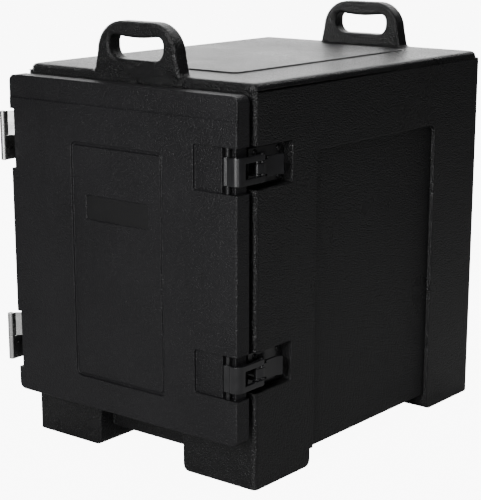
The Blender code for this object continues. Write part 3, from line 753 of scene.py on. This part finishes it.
class CARRIER_OT_set_stage(bpy.types.Operator):
    """Set up the floor, the soft lights and the camera"""
    bl_idname = "carrier.set_stage"
    bl_label = "Set the stage"

    def execute(self, context):
        stage = context.scene.carrier_stage
        shape = bmesh.new()
        bmesh.ops.create_grid(shape, x_segments=8, y_segments=8, size=60.0)
        mesh = bpy.data.meshes.new("studio_floor")
        shape.to_mesh(mesh)
        shape.free()
        material, shader = new_material("Studio floor")
        shader.inputs["Base Color"].default_value = with_alpha(stage.floor_colour)
        shader.inputs["Roughness"].default_value = 0.9
        shader.inputs["Specular IOR Level"].default_value = 0.0
        shader.inputs["Emission Color"].default_value = (1.0, 1.0, 1.0, 1.0)
        path = material.node_tree.nodes.new("ShaderNodeLightPath")
        glow = material.node_tree.nodes.new("ShaderNodeMath")
        glow.operation = "MULTIPLY"
        glow.inputs[1].default_value = stage.floor_glow
        material.node_tree.links.new(path.outputs["Is Camera Ray"], glow.inputs[0])
        material.node_tree.links.new(glow.outputs[0], shader.inputs["Emission Strength"])
        mesh.materials.append(material)
        floor = bpy.data.objects.new("studio_floor", mesh)
        floor.location = (0.0, 0.0, -0.0004)
        context.scene.collection.objects.link(floor)

        world = bpy.data.worlds.new("Soft studio")
        world.use_nodes = True
        backdrop = world.node_tree.nodes["Background"]
        backdrop.inputs["Color"].default_value = (1.0, 1.0, 1.0, 1.0)
        path = world.node_tree.nodes.new("ShaderNodeLightPath")
        strength = world.node_tree.nodes.new("ShaderNodeMath")
        strength.operation = "MULTIPLY_ADD"
        strength.inputs[1].default_value = stage.floor_glow
        strength.inputs[2].default_value = stage.ambient
        world.node_tree.links.new(path.outputs["Is Camera Ray"], strength.inputs[0])
        world.node_tree.links.new(strength.outputs[0], backdrop.inputs["Strength"])
        context.scene.world = world

        area_light("back_softbox", (-1.7, 2.6, 1.5), (0.0, 0.2, 0.45), (3.4, 2.0), 62.0)
        area_light("top_softbox", (0.3, -0.2, 2.4), (0.0, 0.0, 0.3), (1.2, 1.2), 26.0)
        area_light("edge_strip", (1.85, -1.65, 0.45), (0.2, -0.29, 0.33), (0.25, 1.1), 4.5)
        area_light("front_strip", (0.85, -2.7, 1.35), (0.0, -0.3, 0.35), (0.6, 1.6), 68.0)
        area_light("low_front", (0.9, -2.4, 0.12), (0.0, -0.3, 0.15), (1.2, 0.25), 6.0)
        area_light("left_strip", (-2.5, 0.25, 0.55), (-0.22, -0.33, 0.3), (0.6, 1.4), 34.0)

        data = bpy.data.cameras.new("studio_camera")
        data.lens = stage.focal_length
        data.shift_y = stage.lift
        camera = bpy.data.objects.new("studio_camera", data)
        turn, rise = math.radians(stage.camera_turn), math.radians(stage.camera_rise)
        back = Vector((math.sin(turn) * math.cos(rise), -math.cos(turn) * math.cos(rise), math.sin(rise)))
        target = Vector((CENTRE_X - 0.0437, CENTRE_Y, 0.1834))
        camera.location = target + back * stage.camera_distance
        camera.rotation_euler = (-back).to_track_quat("-Z", "Y").to_euler()
        context.scene.collection.objects.link(camera)
        context.scene.camera = camera
        return {"FINISHED"}


# Panel -------------------------------------------------------------------------------------

STEPS = (
    "carrier.mould_body",
    "carrier.line_cavity",
    "carrier.mould_door",
    "carrier.fit_hinges",
    "carrier.fit_latches",
    "carrier.drive_screws",
    "carrier.set_stage",
)


class CARRIER_PT_sidebar(bpy.types.Panel):
    """The carrier's sizes, colours and building steps"""
    bl_idname = "CARRIER_PT_sidebar"
    bl_label = "Food carrier"
    bl_space_type = "VIEW_3D"
    bl_region_type = "UI"
    bl_category = "Carrier"

    def draw(self, context):
        scene = context.scene
        for group in (scene.carrier_moulding, scene.carrier_hardware, scene.carrier_stage):
            box = self.layout.box()
            for name in group.bl_rna.properties.keys():
                if name not in {"rna_type", "name"}:
                    box.prop(group, name)
        for step in STEPS:
            self.layout.operator(step)


CLASSES = (
    CarrierMoulding,
    CarrierHardware,
    CarrierStage,
    CARRIER_OT_mould_body,
    CARRIER_OT_line_cavity,
    CARRIER_OT_mould_door,
    CARRIER_OT_fit_hinges,
    CARRIER_OT_fit_latches,
    CARRIER_OT_drive_screws,
    CARRIER_OT_set_stage,
    CARRIER_PT_sidebar,
)


def register():
    for item in CLASSES:
        bpy.utils.register_class(item)
    bpy.types.Scene.carrier_moulding = bpy.props.PointerProperty(type=CarrierMoulding)
    bpy.types.Scene.carrier_hardware = bpy.props.PointerProperty(type=CarrierHardware)
    bpy.types.Scene.carrier_stage = bpy.props.PointerProperty(type=CarrierStage)


def unregister():
    del bpy.types.Scene.carrier_stage
    del bpy.types.Scene.carrier_hardware
    del bpy.types.Scene.carrier_moulding
    for item in reversed(CLASSES):
        bpy.utils.unregister_class(item)


def main():
    register()
    bpy.ops.carrier.mould_body()
    bpy.ops.carrier.line_cavity()
    bpy.ops.carrier.mould_door()
    bpy.ops.carrier.fit_hinges()
    bpy.ops.carrier.fit_latches()
    bpy.ops.carrier.drive_screws()
    bpy.ops.carrier.set_stage()


if __name__ == "__main__":
    main()
